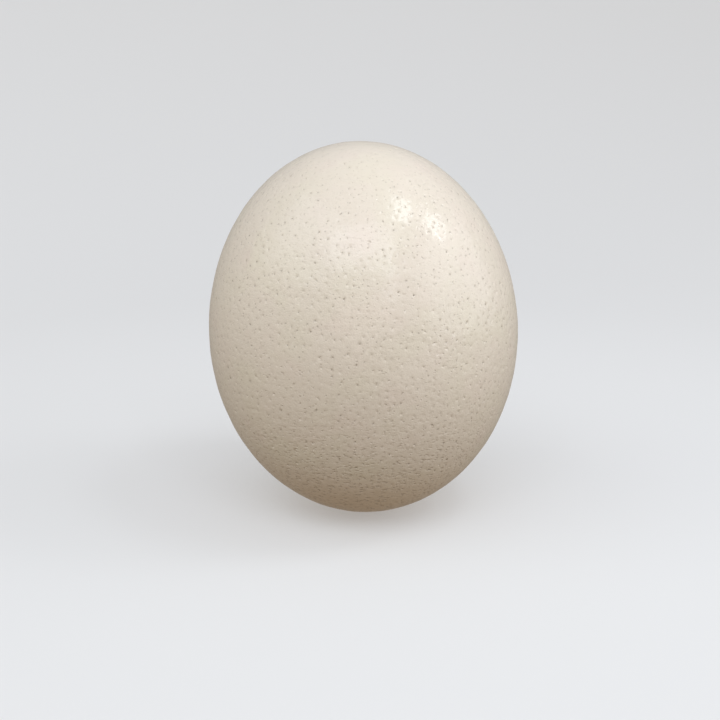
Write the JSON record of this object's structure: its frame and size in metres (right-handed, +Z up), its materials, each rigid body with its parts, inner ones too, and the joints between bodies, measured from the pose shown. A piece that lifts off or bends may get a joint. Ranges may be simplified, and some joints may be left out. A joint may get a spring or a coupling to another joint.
{
  "type": "ostrich egg",
  "caption": "Whole ostrich egg with a cream, finely pitted shell, standing on end on a small flat resting spot.",
  "frame": {"origin": "on the surface that the egg stands on, under the middle of its outer box", "axes": "+Z up, close to the egg's long axis, whose top leans 2.6 degrees towards -X; +Y points away from the viewer and +X to the viewer's right"},
  "size_m": [0.1238, 0.1238, 0.149],
  "materials": {
    "eggshell": "satin cream eggshell with small dark-centred pits all over"
  },
  "bodies": {
    "root": {"ostrich_egg": "eggshell"}
  },
  "joints": []
}
